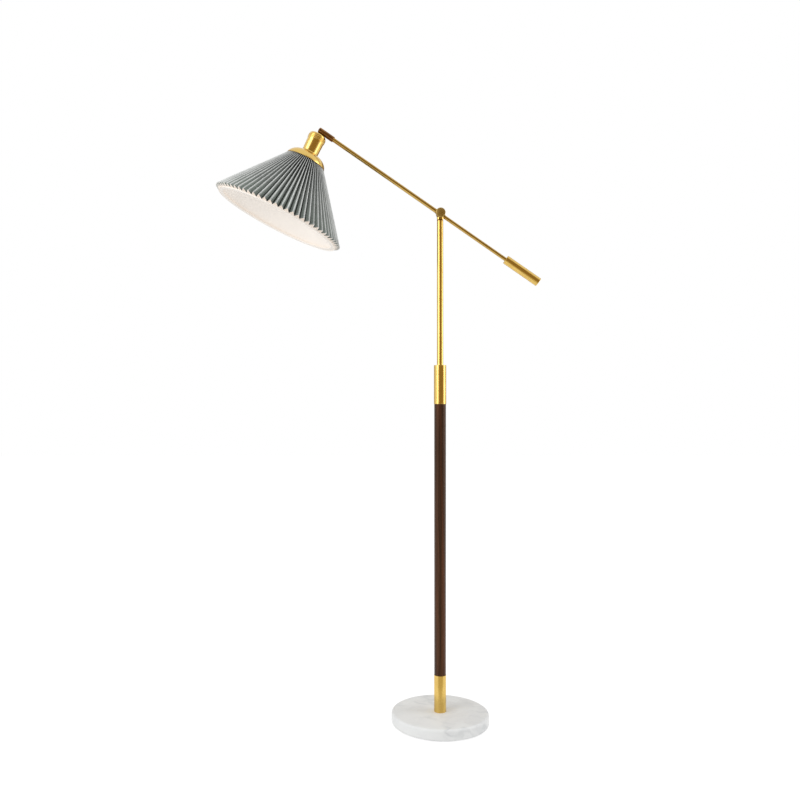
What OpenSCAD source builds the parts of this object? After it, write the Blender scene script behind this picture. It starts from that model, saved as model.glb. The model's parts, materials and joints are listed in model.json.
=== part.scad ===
// Bridge floor lamp: marble foot, walnut pole between brass ferrules, a brass mast,
// a counterweighted arm that swivels and tilts, and a pleated shade on a hinged lampholder.
// Frame: the floor under the pole is the origin, +Z is up, the head reaches towards -X
// and the cord inlet is at the back, towards +Y. Lengths are millimetres, angles degrees.

/* [Foot] */
// Diameter of the marble disc
base_d = 250; // [210:1:320]
// Height of the marble's top face above the floor
base_h = 30; // [26:0.5:44]
// Radius of the marble's upper edge
base_top_r = 6.5; // [2:0.5:9]
// Radius of the marble's lower edge
base_low_r = 3; // [1:0.5:4]
// Thickness of the soft pad under the marble
pad_t = 2.5; // [1.5:0.5:4]
// How far the pad stays back from the marble's edge
pad_inset = 8; // [3:0.5:12]
// Diameter of the recess for the clamping plate under the marble
recess_d = 60; // [50:1:80]
// Depth of that recess, from the underside of the marble
recess_h = 13; // [12:0.5:15]
// Thickness of the steel clamping plate
plate_t = 3; // [2:0.5:4]
// Thickness of the spring washer
spring_washer_t = 2; // [1.5:0.1:2.2]
// Height of the nut on the tie tube
tie_nut_h = 6; // [5:0.5:6.5]
// Width of the same nut across its flats
tie_nut_af = 17; // [15:0.5:19]
// Outer diameter of the threaded tie tube
tie_d = 10; // [9:0.5:10.5]
// Height of the middle of the cord inlet above the floor
inlet_z = 12.5; // [11.5:0.5:14]
// Outer diameter of the cord gland's body
gland_d = 12; // [10:0.5:13]
// Bore of the cord gland
gland_bore = 6.6; // [5:0.1:8]

/* [Pole] */
// Diameter of the walnut pole
pole_d = 30; // [29:0.5:30.5]
// Length of walnut between the two ferrules
pole_len = 698; // [500:1:820]
// Bore through the walnut
pole_bore = 13.5; // [13:0.1:16]
// Length of the turned tenon at each end of the walnut
tenon_len = 25; // [15:1:32]
// Outer diameter of the lower ferrule
low_ferrule_d = 31; // [31:0.1:34]
// Length of the lower ferrule
low_ferrule_len = 94; // [75:1:130]
// Outer diameter of the upper ferrule
top_ferrule_d = 31.4; // [31:0.1:34]
// Length of the upper ferrule
top_ferrule_len = 100; // [85:1:140]
// Inner diameter of both ferrules
ferrule_bore = 28.2; // [27:0.1:28.6]
// Thickness of the upper ferrule's closed end
ferrule_cap_t = 3; // [2:0.5:5]
// Outer diameter of the steel core tube in the walnut
core_d = 12.7; // [12:0.1:12.9]
// Wall of the core tube
core_wall = 1.5; // [1:0.1:2]
// Length of the plug in each ferrule
plug_len = 30; // [26:1:36]

/* [Mast] */
// Height of the arm's pivot above the floor
pivot_z = 1312.4; // [1200:0.1:1450]
// Outer diameter of the brass mast tube
mast_d = 16; // [15.4:0.1:18]
// Wall of the mast tube
mast_wall = 1.5; // [1:0.1:1.6]
// Distance from the pivot down to the top face of the mast's bush
pivot_drop = 16; // [15.5:0.5:22]
// Thickness of the bush's flange on top of the mast tube
bush_flange_t = 2; // [1.5:0.5:3]
// Length of the bush inside the mast tube
bush_len = 25; // [16:1:40]
// Diameter of the fork's spigot in the bush
spigot_d = 9; // [8.6:0.1:9.6]
// Diameter of the threaded end of the spigot
spigot_thread_d = 8; // [7:0.1:8.2]

/* [Fork and knob] */
// Diameter of the bar that the fork is turned from
fork_d = 21; // [20:0.5:24]
// Width of the fork's foot, seen from the front
fork_foot_w = 15; // [12:0.5:16]
// Thickness of each cheek at its middle
cheek_t = 3; // [2.5:0.5:5]
// Steepest slope of the arm that the fork leaves room for, up or down
arm_slope_max = 42; // [36:1:42]
// Thickness of each friction washer beside the arm's block
friction_washer_t = 0.5; // [0.3:0.1:1]
// Diameter of the pivot bolt
bolt_d = 6; // [5:0.5:7]
// Diameter of the bolt's head
bolt_head_d = 14; // [11:0.5:16]
// Height of the bolt's head
bolt_head_h = 4; // [3:0.5:6]
// Diameter of the clamp knob
knob_d = 25; // [22:0.5:32]
// Thickness of the clamp knob at its rim
knob_t = 8.6; // [8.5:0.1:14]
// Radius of the knob's front edge
knob_edge_r = 1.8; // [0.5:0.1:2.5]
// Height of the crown on the knob's face
knob_crown = 1.4; // [0.5:0.1:3]

/* [Arm] */
// Slope of the arm above the level, as photographed
arm_rise = 34.8; // [0:0.1:41]
// Distance from the pivot to the head's hinge
arm_reach = 375.6; // [300:0.1:460]
// Outer diameter of the front arm tube
tube_d = 10.4; // [9.8:0.1:11]
// Wall of the front arm tube
tube_wall = 1; // [0.8:0.1:1.2]
// Diameter of the rear rod
rod_d = 9.4; // [9:0.1:10.4]
// Radius of the arm's block, between the cheeks
block_r = 10; // [9:0.1:10.2]
// Width of the arm's block
block_w = 11.6; // [11.4:0.1:13]
// Diameter of the block's two bosses, which the rods butt on
boss_d = 11.4; // [11:0.1:11.4]
// Distance from the pivot to the end of each boss
boss_reach = 13; // [12:0.5:16]
// Diameter of the threaded ends in the block
rod_thread_d = 8; // [7:0.1:8]
// Distance from the pivot to the front face of the counterweight
weight_start = 206; // [120:1:260]
// Length of the counterweight
weight_len = 103; // [70:0.5:140]
// Diameter of the counterweight
weight_d = 22.8; // [19:0.1:32]
// Diameter of the recess in the counterweight's end
weight_recess_d = 12.5; // [12:0.1:14]
// Depth of that recess
weight_recess_h = 6; // [4:0.5:10]

/* [Head hinge] */
// Outer diameter of the bronze sleeve on the arm's front end
sleeve_d = 14.5; // [13.5:0.1:15]
// Length of the sleeve
sleeve_len = 45; // [36:0.5:60]
// How far the sleeve runs on past the hinge pin
sleeve_nose = 4.5; // [4:0.1:6]
// Depth of the arm tube inside the sleeve
sleeve_socket = 24; // [16:0.5:25]
// Diameter of the hinge screw
hinge_d = 4; // [3:0.1:4.5]
// Thickness of the tongue in the sleeve's slot
tongue_t = 5; // [4:0.1:5.5]
// Radius of the tongue's round end
tongue_r = 5.8; // [5:0.1:6]
// Thickness of each washer beside the tongue
hinge_washer_t = 0.5; // [0.3:0.1:0.6]

/* [Lampholder and bell] */
// Tilt of the head away from straight down, as photographed
head_tilt = 26; // [24:0.5:60]
// Distance from the hinge down to the top of the cup
cup_top = 11.6; // [11.6:0.1:14]
// Length of the cup
cup_len = 49.5; // [47:0.1:56]
// Radius of the cup below its rolls
cup_r = 22; // [21.8:0.1:24]
// Radius of the cup's lower end
cup_low_r = 21.2; // [20.4:0.1:21.4]
// Number of rolls round the top of the cup
roll_count = 3; // [1:1:3]
// Height of each roll
roll_h = 3.6; // [3:0.1:4]
// How far the rolls stand out from the cup
roll_out = 1.3; // [0.5:0.1:2]
// Wall of the cup and of the bell
spun_wall = 1.4; // [1:0.1:1.6]
// Radius of the bell's rim
bell_r = 52.8; // [52.6:0.1:55]
// Height of the bell, from its rim up to its neck
bell_h = 26.9; // [26:0.1:29]
// Slope of the bell's top surface
bell_slope = 20; // [10:1:30]
// Radius of the curve from the bell's shoulder down to its rim
bell_round = 30; // [26:1:40]
// Lean of the bell's wall at its rim
bell_lean = 17; // [5:1:25]
// Diameter of the threaded stem under the tongue
stem_d = 10; // [9:0.1:10]
// Outer diameter of the threaded part of the lampholder
holder_d = 38; // [36:0.5:38]
// Bore of the lampholder, for a 27 mm screw cap
socket_d = 27.2; // [27:0.1:28]
// Largest diameter of the bulb's glass
bulb_d = 60; // [50:1:70]
// Length of the bulb's glass
bulb_len = 83; // [76:1:95]

/* [Shade] */
// Number of pleats
pleat_count = 72; // [48:2:90]
// Distance along the head from the hinge to the inner folds' lower ends
shade_drop = 254; // [220:1:280]
// Radius of the outer folds at the rim
ridge_low_r = 176.5; // [150:0.5:200]
// Depth of the pleats at the rim, measured towards the axis
low_pleat_depth = 11.3; // [4:0.1:14]
// How far the outer folds end above the inner folds at the rim
rim_stagger = 5.4; // [3:0.1:8]
// Depth of the pleats at the top, measured across the cone
top_pleat_depth = 5.6; // [4:0.1:6.5]
// Thickness of the pleated cloth, measured from the axis outwards
cloth_t = 1.2; // [0.8:0.1:1.6]
// Thickness of the smooth liner, measured from the axis outwards
liner_t = 1; // [0.8:0.1:1.6]
// Radial width of the flat hoop inside the rim
hoop_w = 9; // [5:0.5:14]
// Height of the same hoop
hoop_h = 3; // [2:0.5:5]
// Diameter of the wire ring at the top of the liner
top_wire_d = 3; // [2:0.5:4]

/* [Hidden] */

// Clearances and shared small sizes
snug = 0.02;                 // radial room of parts that are fixed in each other
run_fit = 0.05;              // radial room of parts that turn in each other
face_gap = 0.05;             // room between flat faces that slide on each other
skin_gap = 0.3;              // room between parts that only lie near each other
edge = 0.6;                  // small chamfer on turned parts
eps = 0.01;                  // overlap that joins shapes of one part
screw_d = 4;                 // set screws
hex_key = 2.2;               // across the corners of a set screw's socket

// Colours of the finishes
brass = "#c9a04a";
bronze = "#6e4a22";
walnut = "#4a3229";
marble = "#dcdedb";
steel = "#9a9da0";
black = "#232323";
white = "#f2efe8";
cloth = "#8b9a98";

// Heights of the stand
pad_d = base_d - 2 * pad_inset;
recess_top = pad_t + recess_h;
plate_z = recess_top - plate_t;
washer_z = plate_z - spring_washer_t;
nut_z = washer_z - tie_nut_h;
tie_low = nut_z - 0.5;
pole_z0 = base_h + low_ferrule_len;
pole_z1 = pole_z0 + pole_len;
ferrule_top = pole_z1 + top_ferrule_len;
low_plug_top = base_h + plug_len;
core_seat = base_h + plug_len * 0.6;
top_plug_low = ferrule_top - ferrule_cap_t - plug_len;
core_top = top_plug_low + plug_len * 0.4;
mast_seat = core_top + 2;
tenon_d = ferrule_bore - 2 * snug;
tie_bore = tie_d + 1;
wire_bore = 7;
screw_len = 6;
low_screw_z = base_h + 8;
top_screw_z = (mast_seat + ferrule_top - ferrule_cap_t) / 2;

// Swivel at the top of the mast, as depths below the pivot
mast_bore = mast_d - 2 * mast_wall;
fork_low = pivot_drop - face_gap;
mast_top = pivot_drop + bush_flange_t;
bush_low = pivot_drop + bush_len;
spigot_low = bush_low + face_gap;
swivel_washer_t = 1;
swivel_nut_h = 6;
swivel_nut_d = mast_bore - 1;
spigot_end = spigot_low + swivel_washer_t + swivel_nut_h + 1;
fork_wire_d = 5;

// Stack along the pivot bolt, as distances from the arm's middle plane
cheek_in = block_w / 2 + face_gap + friction_washer_t;
cheek_out = cheek_in + cheek_t;
clamp_washer_t = 1;
knob_back = cheek_out + clamp_washer_t + face_gap;
knob_front = knob_back + knob_t;
knob_face_t = 2;
crown_span = knob_d / 2 - knob_edge_r;
crown_r = (pow(crown_span, 2) + pow(knob_crown, 2)) / (2 * knob_crown);
crown_a = asin(crown_span / crown_r);
bolt_end = knob_front - knob_face_t - 0.5;
fork_head_r = fork_d / 2;
bridge_depth = block_r + 1.6;
sweep_r = boss_d / 2 / cos(arm_slope_max);
bridge_top_w = 2 * ((bridge_depth - sweep_r) / tan(arm_slope_max) - skin_gap);

// Arm, measured from the pivot
insert_len = 15;
socket_end = bolt_d / 2 + 2;
sleeve_end = arm_reach + sleeve_nose;
sleeve_start = sleeve_end - sleeve_len;
tube_end = sleeve_start + sleeve_socket;
slot_end = arm_reach - tongue_r - 1.2;
slot_half = tongue_t / 2 + face_gap + hinge_washer_t;
sleeve_wire_d = 6;
weight_end = weight_start + weight_len;
rod_end = weight_end - weight_recess_h - 15;
weight_screw_d = 5;
weight_head_d = weight_recess_d - 2;
weight_head_h = 4;

// Head, measured down from the hinge
hinge_x = -arm_reach * cos(arm_rise);
hinge_z = pivot_z + arm_reach * sin(arm_rise);
collar_top = cup_top - 2.2;
cup_low = cup_top + cup_len;
dome_r = 6;
rolls_top = cup_top + dome_r + 0.2;
rolls_low = rolls_top + roll_count * roll_h;
bell_low = cup_low + bell_h;
seat_z = cup_low + 2;
stem_low = cup_top + 32;
holder_top = cup_top + 19;
flange_z = bell_low;
flange_t = 4;
carrier_t = 2;
carrier_z = flange_z + carrier_t;
holder_low = carrier_z + 8;
ring_h = 7;
socket_top = holder_low - 28;
contact_t = 0.8;
cap_low = holder_low - 3;
cap_r = socket_d / 2 - contact_t / 2 - 0.2;
bulb_low = cap_low + bulb_len;

// Shade: the outer folds start just under the bell's rim, and every fold is a straight line
ridge_top_z = bell_low + skin_gap;
ridge_top_r = bell_r - 1;
ridge_low_z = shade_drop - rim_stagger;
valley_low_r = ridge_low_r - low_pleat_depth;
cone_angle = atan((ridge_low_r - ridge_top_r) / (ridge_low_z - ridge_top_z));
valley_top_r = ridge_top_r - top_pleat_depth * cos(cone_angle);
valley_top_z = ridge_top_z + top_pleat_depth * sin(cone_angle);
valley_slope = (valley_low_r - valley_top_r) / (shade_drop - valley_top_z);
function liner_r(z) = valley_top_r + (z - valley_top_z) * valley_slope - cloth_t - skin_gap;
liner_top_z = carrier_z;
liner_low_z = shade_drop + 2.5;
wire_z = carrier_z + top_wire_d / 2 + 0.1;
wire_r = liner_r(wire_z) - liner_t - (top_wire_d / 2 + 0.1) / cos(cone_angle);

$fn = 96;

// Points along an arc, from angle a0 to a1
function arc(c, r, a0, a1, n = 8) =
    [for (i = [0:n]) c + r * [cos(a0 + (a1 - a0) * i / n), sin(a0 + (a1 - a0) * i / n)]];

// A turned part from radius and height points
module turned(points) rotate_extrude() polygon(points);

// A round bar with a chamfer at both ends, along +Z
module bar(d, h, c = edge) {
    turned([[0, 0], [d / 2 - c, 0], [d / 2, c], [d / 2, h - c], [d / 2 - c, h], [0, h]]);
}

module tube(od, id, h) {
    difference() {
        cylinder(d = od, h = h);
        translate([0, 0, -1]) cylinder(d = id, h = h + 2);
    }
}

module hex_nut(af, bore, h) {
    difference() {
        cylinder(d = af / cos(30), h = h, $fn = 6);
        translate([0, 0, -1]) cylinder(d = bore, h = h + 2);
    }
}

// A set screw with a hexagon socket in its outer end, pointing along +Z
module set_screw(len) {
    difference() {
        cylinder(d = screw_d, h = len, $fn = 24);
        translate([0, 0, len - 2]) cylinder(d = hex_key, h = 3, $fn = 6);
    }
}

module along_x() rotate([0, 90, 0]) children();
module along_y() rotate([-90, 0, 0]) children();

// An outline in X and Z, thick from y0 to y1
module plate(y0, y1) translate([0, y1, 0]) rotate([90, 0, 0]) linear_extrude(y1 - y0) children();

// Frame of the arm: the pivot is the origin and the head's hinge lies along -X
module in_arm() translate([0, 0, pivot_z]) rotate([0, arm_rise, 0]) children();

// Frame of the head: the hinge is the origin and the shade hangs along -Z
module in_head() translate([hinge_x, 0, hinge_z]) rotate([0, head_tilt, 0]) children();

// A turned part of the head, from radius and depth points below the hinge
module head_turned(points) in_head() mirror([0, 0, 1]) turned(points);

// ---------- Foot ----------

module base_pad() color(black) cylinder(d = pad_d, h = pad_t);

module marble_base() color(marble) difference() {
    turned(concat(
        [[tie_bore / 2, pad_t]],
        arc([base_d / 2 - base_low_r, pad_t + base_low_r], base_low_r, -90, 0),
        arc([base_d / 2 - base_top_r, base_h - base_top_r], base_top_r, 0, 90),
        [[tie_bore / 2, base_h]]
    ));
    translate([0, 0, pad_t - 1]) cylinder(d = recess_d, h = recess_h + 1);
    translate([0, recess_d / 4, inlet_z]) along_y() cylinder(d = gland_bore + 1.4, h = base_d / 2);
    translate([-gland_bore / 2, recess_d / 4, pad_t - 1])
        cube([gland_bore, base_d / 2 - recess_d / 4 - gland_d, inlet_z - pad_t + 1]);
    translate([0, base_d / 2 - gland_d, inlet_z]) along_y() cylinder(d = gland_d, h = gland_d + 1);
}

module clamp_plate() color(steel) translate([0, 0, plate_z]) tube(recess_d - 4, tie_bore, plate_t);

module spring_washer() color(steel) translate([0, 0, washer_z]) difference() {
    tube(tie_d + 7, tie_d + 0.5, spring_washer_t);
    translate([0, -0.6, -1]) cube([tie_d, 1.2, spring_washer_t + 2]);
}

module tie_nut() color(steel) translate([0, 0, nut_z]) hex_nut(tie_nut_af, tie_d + 2 * snug, tie_nut_h);

module tie_tube() color(steel) translate([0, 0, tie_low]) tube(tie_d, wire_bore, core_seat - 1 - tie_low);

module cord_gland() color(black) translate([0, base_d / 2 - gland_d + 2, inlet_z]) along_y()
    difference() {
        union() {
            cylinder(d = gland_d - 2 * snug, h = gland_d - 2 + eps);
            translate([0, 0, gland_d - 2]) bar(gland_d + 3, 2, 0.5);
        }
        translate([0, 0, -1]) cylinder(d = gland_bore, h = gland_d + 2);
    }

// ---------- Pole ----------

module lower_ferrule() color(brass) difference() {
    translate([0, 0, base_h]) tube(low_ferrule_d, ferrule_bore, low_ferrule_len);
    screw_hole(low_screw_z, low_ferrule_d);
}

module screw_hole(z, d) translate([0, 0, z]) along_y() cylinder(d = screw_d + 2 * snug, h = d, $fn = 24);

module lower_plug() color(steel) difference() {
    turned([
        [tie_d / 2 + snug, base_h], [ferrule_bore / 2 - snug, base_h],
        [ferrule_bore / 2 - snug, low_plug_top], [core_d / 2 + snug, low_plug_top],
        [core_d / 2 + snug, core_seat], [tie_d / 2 + snug, core_seat]
    ]);
    screw_hole(low_screw_z, low_ferrule_d);
}

module walnut_pole() color(walnut) difference() {
    turned([
        [0, pole_z0 - tenon_len], [tenon_d / 2, pole_z0 - tenon_len], [tenon_d / 2, pole_z0],
        [pole_d / 2, pole_z0], [pole_d / 2, pole_z1], [tenon_d / 2, pole_z1],
        [tenon_d / 2, pole_z1 + tenon_len], [0, pole_z1 + tenon_len]
    ]);
    translate([0, 0, pole_z0 - tenon_len - 1])
        cylinder(d = pole_bore, h = pole_len + 2 * tenon_len + 2);
}

module core_tube() color(steel)
    translate([0, 0, core_seat]) tube(core_d, core_d - 2 * core_wall, core_top - core_seat);

module upper_ferrule() color(brass) difference() {
    translate([0, 0, pole_z1]) bar(top_ferrule_d, top_ferrule_len, 0.4);
    translate([0, 0, pole_z1 - 1]) cylinder(d = ferrule_bore, h = top_ferrule_len - ferrule_cap_t + 1);
    translate([0, 0, pole_z1]) cylinder(d = mast_d + 2 * snug, h = top_ferrule_len + 1);
    screw_hole(top_screw_z, top_ferrule_d);
}

module upper_plug() color(steel) difference() {
    turned([
        [core_d / 2 + snug, top_plug_low], [ferrule_bore / 2 - snug, top_plug_low],
        [ferrule_bore / 2 - snug, top_plug_low + plug_len], [mast_d / 2 + snug, top_plug_low + plug_len],
        [mast_d / 2 + snug, mast_seat], [core_d / 2 - core_wall, mast_seat],
        [core_d / 2 - core_wall, core_top], [core_d / 2 + snug, core_top]
    ]);
    screw_hole(top_screw_z, top_ferrule_d);
}

// The screws press on the tie tube and on the mast, and end just inside the ferrules' faces
module ferrule_screws() color(black) {
    low_depth = low_ferrule_d / 2 - 0.6 - tie_d / 2 - snug;
    top_depth = top_ferrule_d / 2 - 0.6 - mast_d / 2 - snug;
    translate([0, tie_d / 2 + snug, low_screw_z]) along_y() set_screw(low_depth);
    translate([0, mast_d / 2 + snug, top_screw_z]) along_y() set_screw(top_depth);
}

// ---------- Mast and swivel ----------

module mast_tube() color(brass) translate([0, 0, mast_seat])
    tube(mast_d, mast_bore, pivot_z - mast_top - mast_seat);

module mast_bush() color(bronze) translate([0, 0, pivot_z - bush_low]) difference() {
    turned([
        [0, 0], [mast_bore / 2 - snug, 0], [mast_bore / 2 - snug, bush_len - bush_flange_t],
        [mast_d / 2, bush_len - bush_flange_t], [mast_d / 2, bush_len - edge],
        [mast_d / 2 - edge, bush_len], [0, bush_len]
    ]);
    translate([0, 0, -1]) cylinder(d = spigot_d + 2 * run_fit, h = bush_len + 2);
}

// Clevis turned from one round bar, milled to a slot and a rounded head, with its spigot below
module pivot_fork() color(brass) translate([0, 0, pivot_z]) difference() {
    union() {
        intersection() {
            translate([0, 0, -fork_low]) cylinder(d = fork_d, h = fork_low + fork_head_r);
            union() {
                plate(cheek_in, cheek_out) cheek_outline();
                plate(-cheek_out, -cheek_in) cheek_outline();
                plate(-cheek_in - 1, cheek_in + 1) bridge_outline();
            }
        }
        translate([0, 0, -spigot_low]) cylinder(d = spigot_d, h = spigot_low - fork_low + 1);
        translate([0, 0, -spigot_end]) cylinder(d = spigot_thread_d, h = spigot_end - spigot_low + 1);
    }
    translate([0, -fork_d, 0]) along_y() cylinder(d = bolt_d + 2 * snug, h = 2 * fork_d);
    translate([0, 0, -spigot_end - 1]) cylinder(d = fork_wire_d, h = spigot_end);
}

module cheek_outline() {
    circle(r = fork_head_r);
    translate([-fork_foot_w / 2, -fork_low]) square([fork_foot_w, fork_low]);
}

module bridge_outline() polygon([
    [-fork_foot_w / 2, -fork_low], [fork_foot_w / 2, -fork_low],
    [bridge_top_w / 2, -bridge_depth], [-bridge_top_w / 2, -bridge_depth]
]);

module swivel_washer() color(white) translate([0, 0, pivot_z - spigot_low - swivel_washer_t])
    tube(swivel_nut_d, spigot_thread_d + 2 * snug, swivel_washer_t);

module swivel_nut() color(steel) translate([0, 0, pivot_z - spigot_low - swivel_washer_t - swivel_nut_h])
    hex_nut(swivel_nut_d * cos(30), spigot_thread_d + 2 * snug, swivel_nut_h);

module pivot_bolt() color(bronze) translate([0, -bolt_end, pivot_z]) along_y() difference() {
    union() {
        cylinder(d = bolt_d, h = bolt_end + cheek_out + 1);
        translate([0, 0, bolt_end + cheek_out]) turned(concat(
            [[0, 0], [bolt_head_d / 2, 0]],
            arc([bolt_head_d / 2 - 2, bolt_head_h - 2], 2, 0, 90, 6),
            [[0, bolt_head_h]]
        ));
    }
    translate([0, 0, bolt_end + cheek_out + 1]) cylinder(d = 5.8, h = bolt_head_h, $fn = 6);
}

module friction_washers() color(black) for (y = [-cheek_in, cheek_in - friction_washer_t])
    translate([0, y, pivot_z]) along_y() tube(2 * block_r, bolt_d + 2 * snug, friction_washer_t);

module clamp_washer() color(steel) translate([0, -cheek_out - clamp_washer_t, pivot_z]) along_y()
    tube(bolt_head_d, bolt_d + 2 * snug, clamp_washer_t);

module clamp_knob() color(bronze) translate([0, -knob_front, pivot_z]) along_y() difference() {
    turned(concat(
        arc([0, crown_r - knob_crown], crown_r, -90, 0.9 * crown_a - 90),
        arc([knob_d / 2 - knob_edge_r, knob_edge_r], knob_edge_r, -90, 0, 6),
        [[knob_d / 2, knob_t - edge], [knob_d / 2 - edge, knob_t], [0, knob_t]]
    ));
    translate([0, 0, knob_face_t]) cylinder(d = bolt_d + 2 * run_fit, h = knob_t);
}

// ---------- Arm ----------

module arm_block() color(bronze) in_arm() difference() {
    union() {
        translate([0, -block_w / 2, 0]) along_y() cylinder(r = block_r, h = block_w);
        translate([-boss_reach, 0, 0]) along_x() cylinder(d = boss_d, h = 2 * boss_reach);
    }
    translate([0, -block_w, 0]) along_y() cylinder(d = bolt_d + 2 * run_fit, h = 2 * block_w);
    for (side = [0, 1]) mirror([side, 0, 0])
        translate([socket_end, 0, 0]) along_x() cylinder(d = rod_thread_d + 2 * snug, h = boss_reach);
}

module tube_insert() color(brass) in_arm() {
    translate([-boss_reach - eps, 0, 0]) along_x()
        cylinder(d = rod_thread_d, h = boss_reach - socket_end - 0.5 + eps);
    translate([-boss_reach - insert_len, 0, 0]) along_x()
        cylinder(d = tube_d - 2 * tube_wall - 2 * snug, h = insert_len);
}

module front_arm_tube() color(brass) in_arm() translate([-tube_end, 0, 0]) along_x()
    tube(tube_d, tube_d - 2 * tube_wall, tube_end - boss_reach);

module rear_arm_rod() color(brass) in_arm() difference() {
    union() {
        translate([socket_end + 0.5, 0, 0]) along_x() cylinder(d = rod_thread_d, h = boss_reach);
        translate([boss_reach, 0, 0]) along_x() cylinder(d = rod_d, h = rod_end - boss_reach);
    }
    translate([rod_end - 16, 0, 0]) along_x() cylinder(d = weight_screw_d + 2 * snug, h = 17);
}

module counterweight() color(brass) in_arm() difference() {
    translate([weight_start, 0, 0]) along_x() bar(weight_d, weight_len);
    translate([weight_start - 1, 0, 0]) along_x()
        cylinder(d = rod_d + 2 * snug, h = rod_end - weight_start + 1);
    translate([rod_end - 1, 0, 0]) along_x() cylinder(d = weight_screw_d + 0.6, h = weight_len);
    translate([weight_end - weight_recess_h, 0, 0]) along_x()
        cylinder(d = weight_recess_d, h = weight_recess_h + 1);
}

module weight_screw() color(black) in_arm() translate([rod_end - 15, 0, 0]) along_x() difference() {
    head_z = weight_end - weight_recess_h - rod_end + 15;
    union() {
        cylinder(d = weight_screw_d, h = head_z + 1);
        translate([0, 0, head_z]) bar(weight_head_d, weight_head_h, 0.5);
    }
    translate([0, 0, head_z + 1.5]) cylinder(d = 4.6, h = weight_head_h, $fn = 6);
}

// ---------- Head hinge ----------

module hinge_sleeve() color(bronze) in_arm() difference() {
    translate([-sleeve_end, 0, 0]) along_x() bar(sleeve_d, sleeve_len, 0.8);
    translate([-tube_end, 0, 0]) along_x() cylinder(d = tube_d + 2 * snug, h = sleeve_socket + 1);
    translate([-sleeve_end - 1, 0, 0]) along_x() cylinder(d = sleeve_wire_d, h = sleeve_len);
    translate([-sleeve_end - 1, -slot_half, -sleeve_d])
        cube([sleeve_end - slot_end + 1, 2 * slot_half, 2 * sleeve_d]);
    translate([-arm_reach, -sleeve_d, 0]) along_y() cylinder(d = hinge_d + 2 * snug, h = 2 * sleeve_d);
    translate([-arm_reach, sleeve_d / 2 - 2.2, 0]) along_y() cylinder(d = hinge_d + 2.8, h = sleeve_d);
    translate([-sleeve_screw_x, 0, -sleeve_d]) cylinder(d = screw_d + 2 * snug, h = sleeve_d, $fn = 24);
}
sleeve_screw_x = sleeve_start + 7;
sleeve_screw_len = sleeve_d / 2 - 0.4 - tube_d / 2 - snug;

module sleeve_screw() color(black) in_arm() translate([-sleeve_screw_x, 0, -tube_d / 2 - snug])
    mirror([0, 0, 1]) difference() {
        cylinder(d = screw_d, h = sleeve_screw_len, $fn = 24);
        translate([0, 0, sleeve_screw_len - 1]) cylinder(d = hex_key, h = 2, $fn = 6);
    }

module hinge_screw() color(black) in_arm() translate([-arm_reach, -sleeve_d / 2 + 0.7, 0]) along_y() {
    head_z = sleeve_d - 2.9;
    difference() {
        union() {
            cylinder(d = hinge_d, h = head_z + 1);
            translate([0, 0, head_z]) cylinder(d = hinge_d + 2.4, h = 1.8);
        }
        translate([-hinge_d, -0.5, head_z + 0.9]) cube([2 * hinge_d, 1, 2]);
    }
}

module hinge_washers() color(steel) in_arm() for (y = [-slot_half, slot_half - hinge_washer_t])
    translate([-arm_reach, y, 0]) along_y() tube(10, hinge_d + 2 * snug, hinge_washer_t);

module head_knuckle() color(bronze) in_head() difference() {
    union() {
        translate([0, -tongue_t / 2, 0]) along_y() cylinder(r = tongue_r, h = tongue_t);
        translate([-4, -tongue_t / 2, -collar_top - 1]) cube([8, tongue_t, collar_top + 1]);
        translate([0, 0, -cup_top]) cylinder(d = 13, h = cup_top - collar_top);
        translate([0, 0, -stem_low]) cylinder(d = stem_d, h = stem_low - cup_top + 1);
    }
    translate([0, -tongue_t, 0]) along_y() cylinder(d = hinge_d + 2 * run_fit, h = 2 * tongue_t);
    translate([0, 0, -stem_low - 1]) cylinder(d = sleeve_wire_d, h = stem_low - cup_top + 1);
}

module stem_nut() color(steel) in_head() translate([0, 0, -cup_top - spun_wall - 3])
    hex_nut(15, stem_d + 2 * snug, 3);

// ---------- Lampholder ----------

// One roll of the cup's top, from its upper groove to its lower one
roll_a = 64;
roll_r = roll_h / 2 / sin(roll_a);
roll_centre_r = cup_r + roll_out - roll_r;
function roll(k) = arc([roll_centre_r, rolls_top + (k + 0.5) * roll_h], roll_r, -roll_a, 0.95 * roll_a, 6);

module lampholder_cup() color(brass) head_turned(concat(
    [[stem_d / 2 + 0.1, cup_top]],
    arc([cup_r - dome_r, cup_top + dome_r], dome_r, -90, 0),
    [for (k = [0:roll_count - 1]) each roll(k)],
    [[cup_r, rolls_low + 0.3], [cup_low_r, cup_low]],
    [[cup_low_r - spun_wall, cup_low], [cup_r - spun_wall, rolls_low]],
    arc([cup_r - dome_r, cup_top + dome_r], dome_r - spun_wall, 0, -90),
    [[stem_d / 2 + 0.1, cup_top + spun_wall]]
));

// Outline of the bell: a cove from the neck, a sloping top and one long curve to the rim
cove_r = 4;
bell_centre = [bell_r - bell_round * cos(bell_lean), bell_low + bell_round * sin(bell_lean)];
function bell_end(t) = asin((bell_centre[1] - bell_low) / (bell_round - t));
function cove_start(t) = t == 0 ? 180 : 180 - asin((seat_z - cup_low - 0.2) / (cove_r + t));
function bell_line(t) = concat(
    arc([cup_low_r + cove_r, cup_low + 0.2], cove_r + t, cove_start(t), 90 + bell_slope),
    arc(bell_centre, bell_round - t, bell_slope - 90, -bell_end(t), 14)
);
function reversed(list) = [for (i = [len(list) - 1:-1:0]) list[i]];

module bell_cap() color(brass) head_turned(concat(
    bell_line(0),
    reversed(bell_line(spun_wall)),
    [[cup_low_r - 3, seat_z], [cup_low_r - 3, cup_low + 0.2]]
));

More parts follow.
